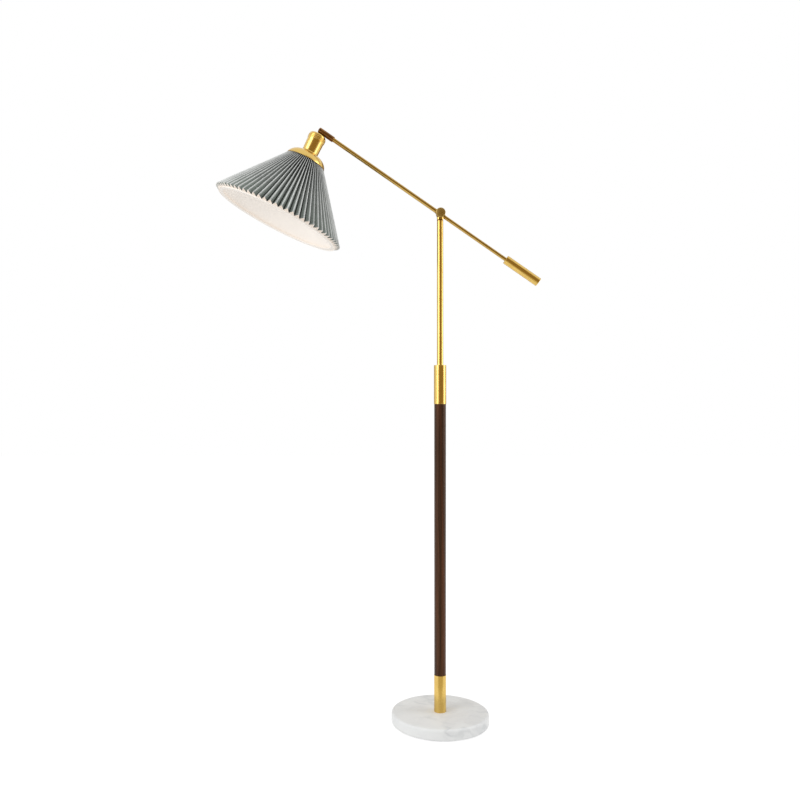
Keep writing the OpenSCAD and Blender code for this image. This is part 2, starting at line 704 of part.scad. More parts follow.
module lampholder() color(white) head_turned([
    [stem_d / 2 + snug, holder_top], [cup_low_r - 5, holder_top], [cup_low_r - 4, holder_top + 1],
    [cup_low_r - 4, seat_z + 0.05], [cup_low_r - spun_wall - 0.4, seat_z + 0.05],
    [holder_d / 2, seat_z + 6], [holder_d / 2, flange_z - flange_t], [holder_d / 2 + 3, flange_z - flange_t],
    [holder_d / 2 + 3, flange_z], [holder_d / 2, flange_z], [holder_d / 2, holder_low - 1],
    [holder_d / 2 - 1, holder_low], [socket_d / 2, holder_low], [socket_d / 2, socket_top],
    [6, socket_top], [6, socket_top - 4], [stem_d / 2 + snug, socket_top - 4]
]);

// The threaded shell that grips the bulb's cap, and the tongue on its centre
module holder_contacts() color(brass) {
    head_turned([
        [socket_d / 2 - snug - contact_t / 2, socket_top + 2], [socket_d / 2 - snug, socket_top + 2],
        [socket_d / 2 - snug, holder_low - 4], [socket_d / 2 - snug - contact_t / 2, holder_low - 4]
    ]);
    head_turned([[0, socket_top - 1], [5.9, socket_top - 1], [5.9, socket_top], [0, socket_top + 1.4]]);
}

module retaining_ring() color(white) head_turned([
    [holder_d / 2 + 0.05, carrier_z], [holder_d / 2 + 5, carrier_z],
    [holder_d / 2 + 5, carrier_z + ring_h - 2], [holder_d / 2 + 3.5, carrier_z + ring_h],
    [holder_d / 2 + 0.05, carrier_z + ring_h]
]);

// ---------- Shade ----------

carrier_ring_r = holder_d / 2 + 4;
module shade_carrier() color(white) in_head() translate([0, 0, -carrier_z]) difference() {
    union() {
        cylinder(r = carrier_ring_r, h = carrier_t);
        for (a = [30, 150, 270]) rotate([0, 0, a]) translate([0, -3, 0]) cube([wire_r, 6, carrier_t]);
    }
    translate([0, 0, -1]) cylinder(d = holder_d + 0.1, h = carrier_t + 2);
}

module shade_top_ring() color(white) in_head() translate([0, 0, -wire_z])
    rotate_extrude() translate([wire_r, 0]) circle(d = top_wire_d, $fn = 24);

hoop_low = liner_low_z - 0.5;
hoop_r = liner_r(hoop_low - hoop_h) - liner_t - 0.1;
module shade_hoop() color(white) head_turned(concat(
    [[hoop_r - hoop_w + 1, hoop_low - hoop_h]],
    [[hoop_r, hoop_low - hoop_h]],
    arc([hoop_r - 1, hoop_low - 1], 1, 0, 90, 4),
    arc([hoop_r - hoop_w + 1, hoop_low - 1], 1, 90, 180, 4),
    [[hoop_r - hoop_w, hoop_low - hoop_h + 1]]
));

module shade_liner() color(white) head_turned([
    [liner_r(liner_top_z) - liner_t, liner_top_z], [liner_r(liner_top_z), liner_top_z],
    [liner_r(liner_low_z), liner_low_z], [liner_r(liner_low_z) - liner_t, liner_low_z]
]);

// The pleated cloth: one closed zigzag band, folded around the cone. Fold number k is an
// outer fold where k is even and an inner fold where it is odd.
fold_count = 2 * pleat_count;
function fold_top(k) = k % 2 == 0 ? [ridge_top_r, ridge_top_z] : [valley_top_r, valley_top_z];
function fold_low(k) = k % 2 == 0 ? [ridge_low_r, ridge_low_z] : [valley_low_r, shade_drop];
function fold_point(k, p, t) = [
    (p[0] - t) * cos(360 * k / fold_count), (p[0] - t) * sin(360 * k / fold_count), -p[1]
];
module pleated_shade() color(cloth) in_head() polyhedron(
    points = concat(
        [for (k = [0:fold_count - 1]) fold_point(k, fold_top(k), 0)],
        [for (k = [0:fold_count - 1]) fold_point(k, fold_low(k), 0)],
        [for (k = [0:fold_count - 1]) fold_point(k, fold_low(k), cloth_t)],
        [for (k = [0:fold_count - 1]) fold_point(k, fold_top(k), cloth_t)]
    ),
    faces = [for (band = [0:3]) for (k = [0:fold_count - 1]) for (half = [0, 1])
        let (
            a = band * fold_count + k,
            b = band * fold_count + (k + 1) % fold_count,
            c = (band + 1) % 4 * fold_count + k,
            d = (band + 1) % 4 * fold_count + (k + 1) % fold_count
        )
        half == 0 ? [a, b, c] : [b, d, c]
    ]
);

module bulb_cap() color(steel) head_turned([
    [0, socket_top + 1.5], [4.6, socket_top + 1.5], [5, socket_top + 2.6], [cap_r - 1.5, socket_top + 4],
    [cap_r, socket_top + 6], [cap_r, cap_low], [0, cap_low]
]);

// Bulb glass: a neck that swells in two arcs into a ball
ball_r = bulb_d / 2;
neck_r = cap_r - 0.4;
ball_z = bulb_low - ball_r;
neck_swell = 35;
function glass_line(t) = concat(
    [[neck_r - t, cap_low + 0.05], [neck_r - t, cap_low + 8]],
    arc([0, ball_z], ball_r - t, -neck_swell, 90, 20)
);
module bulb_glass() color("#fbf6ea") head_turned(concat(
    glass_line(0),
    reversed(glass_line(1))
));

base_pad();
marble_base();
clamp_plate();
spring_washer();
tie_nut();
tie_tube();
cord_gland();
lower_ferrule();
lower_plug();
walnut_pole();
core_tube();
upper_ferrule();
upper_plug();
ferrule_screws();
mast_tube();
mast_bush();
pivot_fork();
swivel_washer();
swivel_nut();
pivot_bolt();
friction_washers();
clamp_washer();
clamp_knob();
arm_block();
tube_insert();
front_arm_tube();
rear_arm_rod();
counterweight();
weight_screw();
hinge_sleeve();
sleeve_screw();
hinge_screw();
hinge_washers();
head_knuckle();
stem_nut();
lampholder_cup();
bell_cap();
lampholder();
holder_contacts();
retaining_ring();
shade_carrier();
shade_top_ring();
shade_hoop();
shade_liner();
pleated_shade();
bulb_cap();
bulb_glass();
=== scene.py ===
import json
import math

import bmesh
import bpy
from bpy.props import (
    BoolProperty, FloatProperty, FloatVectorProperty, IntProperty, PointerProperty,
)
from mathutils import Matrix, Vector
from mathutils.geometry import area_tri


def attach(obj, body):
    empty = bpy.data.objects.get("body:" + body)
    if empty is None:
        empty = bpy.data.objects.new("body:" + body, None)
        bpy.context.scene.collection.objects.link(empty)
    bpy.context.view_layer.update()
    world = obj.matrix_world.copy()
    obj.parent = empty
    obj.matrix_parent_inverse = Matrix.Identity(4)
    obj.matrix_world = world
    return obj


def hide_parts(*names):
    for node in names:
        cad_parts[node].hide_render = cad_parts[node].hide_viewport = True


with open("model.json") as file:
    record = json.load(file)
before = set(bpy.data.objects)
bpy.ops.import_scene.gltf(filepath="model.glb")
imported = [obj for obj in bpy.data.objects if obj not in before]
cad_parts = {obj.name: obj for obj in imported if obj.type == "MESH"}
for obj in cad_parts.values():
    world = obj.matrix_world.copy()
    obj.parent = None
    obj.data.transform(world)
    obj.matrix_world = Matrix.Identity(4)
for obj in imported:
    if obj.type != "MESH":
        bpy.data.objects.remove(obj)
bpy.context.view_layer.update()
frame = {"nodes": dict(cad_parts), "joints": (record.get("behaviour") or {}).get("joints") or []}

bl_info = {
    "name": "Bridge Floor Lamp",
    "version": (1, 0, 0),
    "blender": (4, 5, 0),
    "location": "View3D > Sidebar > Lamp",
    "description": "Dresses a bridge floor lamp with its pleated shade and its finishes",
    "category": "Object",
}

JOINT = {j["name"]: Vector(j.get("pos_m", (0, 0, 0))) for j in frame["joints"]}
PIVOT = JOINT["arm_tilt"]
HINGE = JOINT["head_tilt"]
HEAD_TILT = math.radians(26)     # of the shade's axis from straight down, as photographed
MM = 0.001

# Grain of the metals: how wide their edges are worn, and how deep their turning lines are
WORN_EDGE = 0.6 * MM
NEAT_EDGE = 0.3 * MM
LINE_DEPTH = 0.003 * MM


def srgb(red, green, blue):
    """A colour as a screen shows it, from 0 to 255, as the linear values that Blender uses"""
    def linear(value):
        value /= 255
        return value / 12.92 if value <= 0.04045 else ((value + 0.055) / 1.055) ** 2.4
    return tuple(linear(value) for value in (red, green, blue))


# ---------- Settings ----------

def length(name, description, millimetres, **limits):
    return FloatProperty(name=name, description=description, default=millimetres * MM,
                         unit="LENGTH", precision=4, **limits)


def share(name, description, value, top=1.0):
    return FloatProperty(name=name, description=description, default=value, min=0, max=top)


def colour(name, description, *values):
    return FloatVectorProperty(name=name, description=description, subtype="COLOR", size=3,
                               min=0, max=1, default=srgb(*values))


def point(name, description, x, y, z):
    return FloatVectorProperty(name=name, description=description, subtype="TRANSLATION",
                               size=3, default=(x, y, z))


class ShadeSettings(bpy.types.PropertyGroup):
    """Sizes and colours of the pleated shade and its lining, and the ring's grips"""
    pleats: IntProperty(name="Pleats", description="Number of pleats round the cone",
                        default=72, min=24, max=120)
    tilt: FloatProperty(name="Tilt", description="Tilt of the head from straight down",
                        default=HEAD_TILT, unit="ROTATION")
    ridge_top_r: length("Ridge top radius", "Radius of the outer folds under the bell", 51.8)
    ridge_top_z: length("Ridge top depth", "Depth of their upper ends below the hinge", 88.3)
    ridge_low_r: length("Ridge rim radius", "Radius of the outer folds at the rim", 176.5)
    ridge_low_z: length("Ridge rim depth", "Depth of their lower ends below the hinge", 248.6)
    valley_top_r: length("Valley top radius", "Radius of the inner folds under the bell", 42.8)
    valley_top_z: length("Valley top depth", "Depth of their upper ends below the hinge", 85.5)
    valley_low_r: length("Valley rim radius", "Radius of the inner folds at the rim", 165.2)
    valley_low_z: length("Valley rim depth", "Depth of their lower ends below the hinge", 254)
    cloth: length("Cloth", "Thickness of the cloth, measured towards the axis", 1.1)
    thread: length("Thread pitch", "Distance between the threads of the weave", 0.55)
    unevenness: length("Unevenness", "How far the folds stray at the rim", 0.5)
    sharpness: share("Sharpness", "How sharply the cloth is folded", 0.965)
    steps: IntProperty(name="Steps", description="Columns of faces in a pleat",
                       default=12, min=4, max=24)
    rows: IntProperty(name="Rows", description="Rows of points down a pleat",
                      default=9, min=2, max=24)
    seed: IntProperty(name="Seed", description="Seed of the folds' unevenness", default=4)
    grips: IntProperty(name="Grips", description="Number of ribs on the retaining ring",
                       default=30, min=3, max=90)
    grip_r: length("Grip circle", "Radius of the circle that the ribs stand on", 24)
    grip_z: length("Grip depth", "Depth of the ribs' middle below the hinge", 92.6)
    grip_size: length("Grip radius", "Radius of a rib", 0.75)
    grip_len: length("Grip length", "Length of a rib", 4)
    face: colour("Cloth colour", "Colour of the pleats' flat faces", 152, 157, 153)
    face_low: colour("Cloth colour at the rim", "Greener colour of the faces near the rim",
                     158, 167, 160)
    # Painted highlight along the outer folds and painted shade deep between the pleats
    ridge: colour("Painted fold highlight", "Paler colour along the outer folds", 232, 234, 232)
    valley: colour("Painted valley shade", "Darker colour deep between the pleats", 34, 36, 39)
    # Painted glow: light given off by the lining and the cloth's back, standing in for daylight
    # shining through the cloth
    glow: colour("Painted glow", "Daylight that shines through the cloth", 255, 246, 238)
    lining: colour("Lining colour", "Colour of the cloth's back and the liner", 238, 233, 227)


class MetalSettings(bpy.types.PropertyGroup):
    """Colours and grain of the brass, the bronze and the steel"""
    brass: colour("Brass", "Colour of the satin brass", 228, 194, 112)
    brass_dark: colour("Brass patina", "Colour of the brass where it has darkened",
                       216, 180, 99)
    # The arm's brass is a darker copy of the brass: painted shade for the arm's darker
    # reflections
    arm: colour("Arm brass", "Colour of the arm's brass, darkened as painted shade", 196, 164, 92)
    arm_dark: colour("Arm brass patina", "Colour of the arm where it has darkened",
                     180, 146, 78)
    aged: colour("Aged brass", "Colour of the knob's browned brass", 206, 180, 116)
    aged_dark: colour("Aged brass patina", "Colour of the knob where it has darkened",
                      172, 146, 88)
    bronze: colour("Bronze", "Colour of the satin bronze", 156, 112, 64)
    bronze_dark: colour("Bronze patina", "Colour of the bronze where it has darkened",
                        104, 70, 38)
    steel: colour("Steel", "Colour of the zinc-plated steel", 186, 190, 194)
    black: colour("Black oxide", "Colour of the blackened screws", 34, 34, 37)
    grain: length("Grain", "Distance between the fine turning lines", 0.22)
    wear: share("Edge wear", "How much the edges shine where hands polish them", 0.35)


class WoodSettings(bpy.types.PropertyGroup):
    """Colours and grain of the walnut pole"""
    light: colour("Light walnut", "Colour between the growth lines", 80, 54, 40)
    dark: colour("Dark walnut", "Colour of the growth lines", 34, 25, 19)
    red: colour("Red streak", "Colour of the warm streaks", 96, 55, 36)
    ring: length("Growth lines", "Distance between the growth lines", 4.2)


class StoneSettings(bpy.types.PropertyGroup):
    """Colours and veins of the marble foot"""
    ground: colour("Marble", "Colour of the marble", 243, 244, 243)
    cloud: colour("Marble clouds", "Colour of the soft grey clouds", 233, 234, 234)
    vein: colour("Veins", "Colour of the thin veins", 213, 215, 216)
    size: length("Vein spacing", "Rough distance between the veins", 90)


class StudioSettings(bpy.types.PropertyGroup):
    """Camera and light of the studio"""
    camera: point("Camera", "Place of the camera", -0.1889, -2.064, 0.805)
    lens: FloatProperty(name="Lens", description="Focal length on a 36 mm frame",
                        default=36, unit="CAMERA")
    shift: FloatVectorProperty(name="Shift", description="Shift of the frame, as shares of it",
                               size=2, default=(0.0414, 0.0133))
    daylight: share("Daylight", "Strength of the soft light from all round", 0.62, 2)
    key: FloatProperty(name="Key light", description="Power of the softbox on the left",
                       default=34, unit="POWER")
    key_place: point("Key place", "Place of the softbox on the left", -2.3, -1.5, 2.0)
    key_aim: point("Key aim", "Point that it faces", -0.1, 0, 0.9)
    fill: FloatProperty(name="Fill light", description="Power of the softbox on the right",
                        default=22, unit="POWER")
    fill_place: point("Fill place", "Place of the softbox on the right", 2.6, -0.2, 1.5)
    fill_aim: point("Fill aim", "Point that it faces", 0, 0, 0.9)
    floor: colour("Floor", "Colour of the floor", 236, 236, 236)
    room: colour("Room", "Warm gloom of the room's walls, as the brass shows it",
                 158, 134, 88)
    carpet: colour("Floor of the room", "Its floor before the lamp, as the brass shows it",
                   216, 208, 180)


GROUPS = {"shade": ShadeSettings, "metal": MetalSettings, "wood": WoodSettings,
          "stone": StoneSettings, "studio": StudioSettings}


def settings(group):
    return getattr(bpy.context.scene, "lamp_" + group)


# ---------- Node trees ----------

class Graph:
    """A node tree, filled one node at a time"""

    def __init__(self, tree):
        self.tree = tree

    def add(self, kind, inputs=None, **values):
        node = self.tree.nodes.new(kind)
        for name, value in values.items():
            setattr(node, name, value)
        for key, value in (inputs or {}).items():
            self.feed(node.inputs[key], value)
        return node

    def feed(self, socket, value):
        if isinstance(value, bpy.types.NodeSocket):
            self.tree.links.new(value, socket)
        elif hasattr(value, "__len__") and len(value) == 3 and socket.type == "RGBA":
            socket.default_value = (*value, 1)
        else:
            socket.default_value = value

    def math(self, operation, *values):
        node = self.add("ShaderNodeMath", dict(enumerate(values)), operation=operation)
        return node.outputs[0]

    def vector(self, operation, *values):
        node = self.add("ShaderNodeVectorMath", dict(enumerate(values)), operation=operation)
        return node.outputs["Value" if operation in ("LENGTH", "DOT_PRODUCT") else "Vector"]

    def join(self, x, y, z):
        return self.add("ShaderNodeCombineXYZ", {0: x, 1: y, 2: z}).outputs[0]

    def split(self, vector):
        return self.add("ShaderNodeSeparateXYZ", {0: vector}).outputs

    def ease(self, value, low, high, to_low=0.0, to_high=1.0):
        inputs = {0: value, 1: low, 2: high, 3: to_low, 4: to_high}
        return self.add("ShaderNodeMapRange", inputs,
                        interpolation_type="SMOOTHSTEP").outputs[0]

    def blend(self, amount, first, second):
        inputs = {0: amount, 6: first, 7: second}
        return self.add("ShaderNodeMix", inputs, data_type="RGBA").outputs[2]

    def mix(self, amount, first, second):
        return self.add("ShaderNodeMix", {0: amount, 2: first, 3: second}).outputs[0]

    def mix_places(self, amount, first, second):
        inputs = {0: amount, 4: first, 5: second}
        return self.add("ShaderNodeMix", inputs, data_type="VECTOR").outputs[1]

    def noise(self, vector, scale=1.0, detail=2.0, roughness=0.5, distortion=0.0):
        inputs = {"Vector": vector, "Scale": scale, "Detail": detail,
                  "Roughness": roughness, "Distortion": distortion}
        return self.add("ShaderNodeTexNoise", inputs).outputs[0]

    def group(self, tree, **inputs):
        node = self.add("ShaderNodeGroup", node_tree=tree)
        for name, value in inputs.items():
            self.feed(node.inputs[name.replace("_", " ")], value)
        return node.outputs


def new_group(name, kind, inputs, outputs):
    """A named node group with typed sockets; returns it with its graph and both its ends"""
    tree = bpy.data.node_groups.new(name, kind)
    for in_out, sockets in (("INPUT", inputs), ("OUTPUT", outputs)):
        for label, socket in sockets.items():
            tree.interface.new_socket(label, in_out=in_out, socket_type="NodeSocket" + socket)
    graph = Graph(tree)
    given, out = graph.add("NodeGroupInput").outputs, graph.add("NodeGroupOutput").inputs
    return tree, graph, given, out


def turned_metal():
    """Fine turning lines round an axis, soft patina and worn edges"""
    name = "Turned metal"
    if name in bpy.data.node_groups:
        return bpy.data.node_groups[name]
    tree, g, given, out = new_group(
        name, "ShaderNodeTree",
        {"Turn": "Vector", "Centre": "Vector", "Pitch": "Float", "Edge": "Float"},
        {"Tone": "Float", "Lines": "Float", "Worn": "Float"})
    place = g.add("ShaderNodeTexCoord").outputs["Object"]
    along = g.add("ShaderNodeVectorRotate",
                  {"Vector": place, "Center": given["Centre"], "Rotation": given["Turn"]},
                  rotation_type="EULER_XYZ").outputs[0]
    fine = g.math("DIVIDE", 1.0, given["Pitch"])
    slow = g.math("MULTIPLY", fine, 0.02)
    lines = g.noise(g.vector("MULTIPLY", along, g.join(slow, slow, fine)),
                    detail=3, roughness=0.6)
    cloud = g.noise(place, scale=26, detail=4, roughness=0.55, distortion=0.4)
    speck = g.noise(place, scale=420, roughness=0.6)
    tone = g.math("MULTIPLY_ADD", lines, 0.35, g.math("MULTIPLY", cloud, 0.5))
    tone = g.math("MULTIPLY_ADD", speck, 0.15, tone)
    bevel = g.add("ShaderNodeBevel", {"Radius": given["Edge"]}, samples=4).outputs[0]
    normal = g.add("ShaderNodeNewGeometry").outputs["Normal"]
    turn = g.math("SUBTRACT", 1.0, g.vector("DOT_PRODUCT", bevel, normal))
    worn = g.ease(g.math("MULTIPLY", turn, g.math("ADD", cloud, 0.5)), 0.02, 0.22)
    g.feed(out["Tone"], g.ease(tone, 0.36, 0.64))
    g.feed(out["Lines"], lines)
    g.feed(out["Worn"], worn)
    return tree


def soft_grain():
    """Small and large mottling, for plastic, rubber, enamel and paper"""
    name = "Soft grain"
    if name in bpy.data.node_groups:
        return bpy.data.node_groups[name]
    tree, g, given, out = new_group(
        name, "ShaderNodeTree", {"Fine": "Float", "Coarse": "Float"},
        {"Tone": "Float", "Height": "Float"})
    place = g.add("ShaderNodeTexCoord").outputs["Object"]
    fine = g.noise(place, scale=given["Fine"], detail=3, roughness=0.6)
    coarse = g.noise(place, scale=given["Coarse"], detail=3)
    g.feed(out["Tone"], g.ease(g.mix(0.5, fine, coarse), 0.35, 0.65))
    g.feed(out["Height"], fine)
    return tree


def bare_material(name):
    """A new material without shader, with its graph and the socket for its surface"""
    made = bpy.data.materials.new(name)
    made.use_nodes = True
    made.node_tree.nodes.clear()
    graph = Graph(made.node_tree)
    return made, graph, graph.add("ShaderNodeOutputMaterial").inputs["Surface"]


def start_material(name, **values):
    """A new material with plain values on its shader; returns it with its graph and shader"""
    made, graph, surface = bare_material(name)
    shader = graph.add("ShaderNodeBsdfPrincipled")
    for label, value in values.items():
        graph.feed(shader.inputs[label.replace("_", " ")], value)
    graph.feed(surface, shader.outputs[0])
    return made, graph, shader.inputs


def bump(graph, height, distance, strength=1.0):
    inputs = {"Height": height, "Distance": distance, "Strength": strength}
    return graph.add("ShaderNodeBump", inputs).outputs[0]


# The way each finish turns: rotations that bring a piece's own axis upright
AXES = {
    "upright": ((0, 0, 0), (0, 0, 0)),
    "arm": ((0, math.pi / 2 - math.atan2(HINGE.z - PIVOT.z, PIVOT.x - HINGE.x), 0), PIVOT),
    "head": ((0, -HEAD_TILT, 0), HINGE),
    "bolt": ((math.pi / 2, 0, 0), PIVOT),
}


def metal(name, axis, light, dark, rough, edge):
    """Satin metal with turning lines round its axis, patina and worn edges"""
    key = f"{name} {axis}"
    if key in bpy.data.materials:
        return bpy.data.materials[key]
    s = settings("metal")
    made, g, shader = start_material(key, Metallic=1.0)
    turn, centre = AXES[axis]
    look = g.group(turned_metal(), Turn=turn, Centre=centre, Pitch=s.grain, Edge=edge)
    base = g.blend(look["Tone"], dark, light)
    shine = g.math("MULTIPLY", look["Worn"], s.wear)
    pale = tuple(min(1, value * 1.25 + 0.04) for value in light)
    g.feed(shader["Base Color"], g.blend(shine, base, pale))
    roughness = g.mix(look["Tone"], rough + 0.06, rough - 0.03)
    g.feed(shader["Roughness"], g.mix(shine, roughness, rough * 0.6))
    g.feed(shader["Normal"], bump(g, look["Lines"], LINE_DEPTH))
    return made


def toned(tone, amount):
    """A colour, darkened to a share of itself"""
    return tuple(value * amount for value in tone)


def brass(axis):
    s = settings("metal")
    return metal("Satin brass", axis, s.brass, s.brass_dark, 0.2, WORN_EDGE)


# A darker copy of the satin brass, painted shade for the arm's tube and rod
def shaded_arm_brass():
    s = settings("metal")
    return metal("Toned brass", "arm", s.arm, s.arm_dark, 0.2, WORN_EDGE)


def aged_brass(axis):
    s = settings("metal")
    return metal("Aged brass", axis, s.aged, s.aged_dark, 0.34, WORN_EDGE)


def bronze(axis):
    s = settings("metal")
    return metal("Satin bronze", axis, s.bronze, s.bronze_dark, 0.27, 0.5 * MM)


def steel(axis):
    tone = settings("metal").steel
    return metal("Zinc-plated steel", axis, tone, toned(tone, 0.72), 0.36, NEAT_EDGE)


def black_steel(axis):
    tone = settings("metal").black
    return metal("Black oxide steel", axis, tone, toned(tone, 0.6), 0.42, NEAT_EDGE)


def aluminium(axis):
    return metal("Bulb cap", axis, srgb(206, 208, 210), srgb(176, 178, 180), 0.3, NEAT_EDGE)


def plain(name, base, dark, rough, fine, coarse, depth, **values):
    """Plastic, rubber, enamel or paper with a soft grain"""
    if name in bpy.data.materials:
        return bpy.data.materials[name]
    made, g, shader = start_material(name, **values)
    look = g.group(soft_grain(), Fine=fine, Coarse=coarse)
    g.feed(shader["Base Color"], g.blend(look["Tone"], dark, base))
    g.feed(shader["Roughness"], g.mix(look["Tone"], rough + 0.08, rough - 0.04))
    g.feed(shader["Normal"], bump(g, look["Height"], depth))
    return made


def walnut():
    """Walnut with growth lines, warm streaks, fibres and pores, darker up the pole"""
    s = settings("wood")
    made, g, shader = start_material("Oiled walnut", IOR=1.45, Specular_IOR_Level=0.5,
                                      Specular_Tint=(1.0, 0.5, 0.28, 1))
    place = g.add("ShaderNodeTexCoord").outputs["Object"]
    ring = 1 / s.ring

    def grain(place, across, along, **look):
        return g.noise(g.vector("MULTIPLY", place, (across, across, along)), **look)

    sway = grain(place, 9, 1.6)
    bent = g.vector("ADD", place, g.join(g.math("MULTIPLY", sway, 0.02), 0, 0))
    rings = grain(bent, ring, 3, detail=3, roughness=0.55)
    fibre = grain(place, 2600, 45, detail=3, roughness=0.6)
    pore = grain(place, 1500, 90, detail=1)
    streak = grain(place, 90, 2.2)
    line = g.ease(rings, 0.36, 0.62)
    # Darker towards the top of the pole
    darker_towards_top = g.ease(g.split(place)[2], 0.35, 0.85, 0.0, 0.8)
    body = g.blend(line, s.dark, s.light)
    body = g.blend(darker_towards_top, body, s.dark)
    body = g.blend(g.ease(streak, 0.5, 0.72, 0.0, 0.7), body, s.red)
    body = g.blend(g.ease(fibre, 0.3, 0.7, 0.35, 0.0), body, s.dark)
    pores = g.ease(pore, 0.28, 0.4, 1.0, 0.0)
    deep = toned(s.dark, 0.35)
    g.feed(shader["Base Color"], g.blend(g.math("MULTIPLY", pores, 0.75), body, deep))
    g.feed(shader["Roughness"], g.mix(fibre, 0.46, 0.32))
    height = g.math("SUBTRACT", g.math("MULTIPLY", fibre, 0.4), pores)
    g.feed(shader["Normal"], bump(g, height, 0.00008))
    return made


def marble():
    """Marble with soft clouds, patches of main veins and thin veins between them"""
    s = settings("stone")
    made, g, shader = start_material("Honed marble", Coat_Weight=0.05, Coat_Roughness=0.3)
    place = g.add("ShaderNodeTexCoord").outputs["Object"]
    near = 1 / s.size
    warp = g.add("ShaderNodeTexNoise", {"Vector": place, "Scale": near * 0.8, "Detail": 4.0})
    push = g.vector("MULTIPLY", g.vector("SUBTRACT", warp.outputs["Color"], (0.5,) * 3),
                    (0.11, 0.11, 0.11))
    bent = g.vector("ADD", place, push)
    tilted = g.vector("MULTIPLY", bent, (0.55, 1.3, 1.0))

    def veins(scale, detail, width):
        middle = g.math("SUBTRACT", g.noise(tilted, scale, detail), 0.5)
        return g.ease(g.math("ABSOLUTE", middle), 0.0, width, 1.0, 0.0)

    cloud = g.ease(g.noise(bent, near * 1.3, detail=5, roughness=0.55), 0.42, 0.7)
    patchy = g.ease(g.noise(place, near * 1.1), 0.38, 0.62)
    main = g.math("MULTIPLY", veins(near * 0.9, detail=3, width=0.05), patchy)
    thin = g.math("MULTIPLY", veins(near * 2.4, detail=4, width=0.03), 0.35)
    veined = g.math("MAXIMUM", main, g.math("MULTIPLY", thin, patchy))
    grain = g.noise(place, scale=900)
    base = g.blend(cloud, s.ground, s.cloud)
    base = g.blend(g.math("MULTIPLY", veined, 0.6), base, s.vein)
    g.feed(shader["Base Color"], g.blend(g.ease(grain, 0.3, 0.7, 0.0, 0.06), base, s.cloud))
    g.feed(shader["Roughness"], g.mix(veined, 0.5, 0.6))
    g.feed(shader["Normal"], bump(g, g.math("ADD", grain, veined), 0.00003))
    return made


def pleated_cloth():
    """Woven cloth, with a painted highlight along its outer folds and painted shade deep between
    the pleats
    """
    s = settings("shade")
    made, g, shader = start_material("Pleated cloth", Sheen_Weight=0.02, Sheen_Roughness=0.5)
    fold = g.add("ShaderNodeAttribute", attribute_name="fold").outputs["Fac"]
    flat = g.split(g.add("ShaderNodeAttribute", attribute_name="flat").outputs["Vector"])
    place = g.add("ShaderNodeTexCoord").outputs["Object"]
    turn = 2 * math.pi / s.thread
    uneven = g.math("MULTIPLY", g.noise(place, scale=240), 2.5)

    def threads(across):
        phase = g.math("MULTIPLY_ADD", across, turn, uneven)
        return g.math("MULTIPLY_ADD", g.math("SINE", phase), 0.5, 0.5)

    warp, weft = threads(flat[0]), threads(flat[1])
    weave = g.math("MAXIMUM", warp, weft)
    on_cloth = g.join(flat[0], flat[1], fold)
    slub = g.noise(g.vector("MULTIPLY", on_cloth, (900, 60, 2)), detail=3)
    mottle = g.noise(place, scale=38, detail=3, roughness=0.6)

    # Down the cloth, from the bell to the rim: painted shade under the bell darkens the top, and
    # the faces turn greener near the rim
    middle, low = 0.13, 0.2
    face = g.blend(g.ease(flat[1], middle, low), s.face, s.face_low)
    # Mask of the painted shade under the bell, strongest at the top
    top = g.ease(flat[1], 0.0, middle, 1.0, 0.0)
    face = g.blend(g.math("MULTIPLY", top, 0.72), face, s.valley)
    rise = g.math("MULTIPLY_ADD", top, 0.4, 0.3)
    # Painted shade deep between the pleats, reaching wider under the bell, then a painted
    # highlight along the outer folds
    base = g.blend(g.ease(fold, g.math("MULTIPLY", top, 0.12), rise), s.valley, face)
    base = g.blend(g.ease(fold, 0.7, 0.9), base, s.ridge)
    shade = g.math("MULTIPLY_ADD", weave, 0.16, 0.84)
    shade = g.math("MULTIPLY", shade, g.ease(slub, 0.3, 0.7, 0.9, 1.06))
    shade = g.math("MULTIPLY", shade, g.ease(mottle, 0.3, 0.7, 0.94, 1.05))
    g.feed(shader["Base Color"], g.blend(shade, (0, 0, 0), base))
    g.feed(shader["Roughness"], g.mix(weave, 0.92, 0.76))
    g.feed(shader["Normal"], bump(g, weave, 0.00012, 0.6))
    return made


def lining():
    s = settings("shade")
    # The lining glows with painted light that stands in for daylight shining through the cloth,
    # and brightens the pleats' backs at the rim
    return plain("Shade lining", s.lining, toned(s.lining, 0.95), rough=0.62, fine=700,
                 coarse=14, depth=0.04 * MM, Emission_Color=s.glow, Emission_Strength=0.18)


def black_plastic():
    return plain("Black plastic", srgb(44, 44, 46), srgb(34, 34, 36), rough=0.48,
                 fine=1100, coarse=60, depth=0.04 * MM)


def white_plastic():
    return plain("White plastic", srgb(236, 233, 226), srgb(228, 225, 217), rough=0.42,
                 fine=900, coarse=40, depth=0.02 * MM)


def foam_rubber():
    return plain("Foam rubber pad", srgb(46, 46, 48), srgb(30, 30, 32), rough=0.85,
                 fine=1400, coarse=40, depth=0.2 * MM)


def white_enamel():
    return plain("White enamel", srgb(238, 236, 230), srgb(230, 228, 221), rough=0.3,
                 fine=500, coarse=30, depth=0.02 * MM)


def opal_glass():
    return plain("Opal glass", srgb(246, 243, 236), srgb(242, 239, 231), rough=0.2,
                 fine=60, coarse=12, depth=0.01 * MM, Coat_Weight=0.6, Coat_Roughness=0.06)


# ---------- Pieces ----------

def finish_nodes(finish, *nodes):
    """Give CAD nodes a finish"""
    for node in nodes:
        data = frame["nodes"][node].data
        data.materials.clear()
        data.materials.append(finish)


def new_piece(name):
    piece = bpy.data.objects.new(name, bpy.data.meshes.new(name))
    bpy.context.scene.collection.objects.link(piece)
    return piece


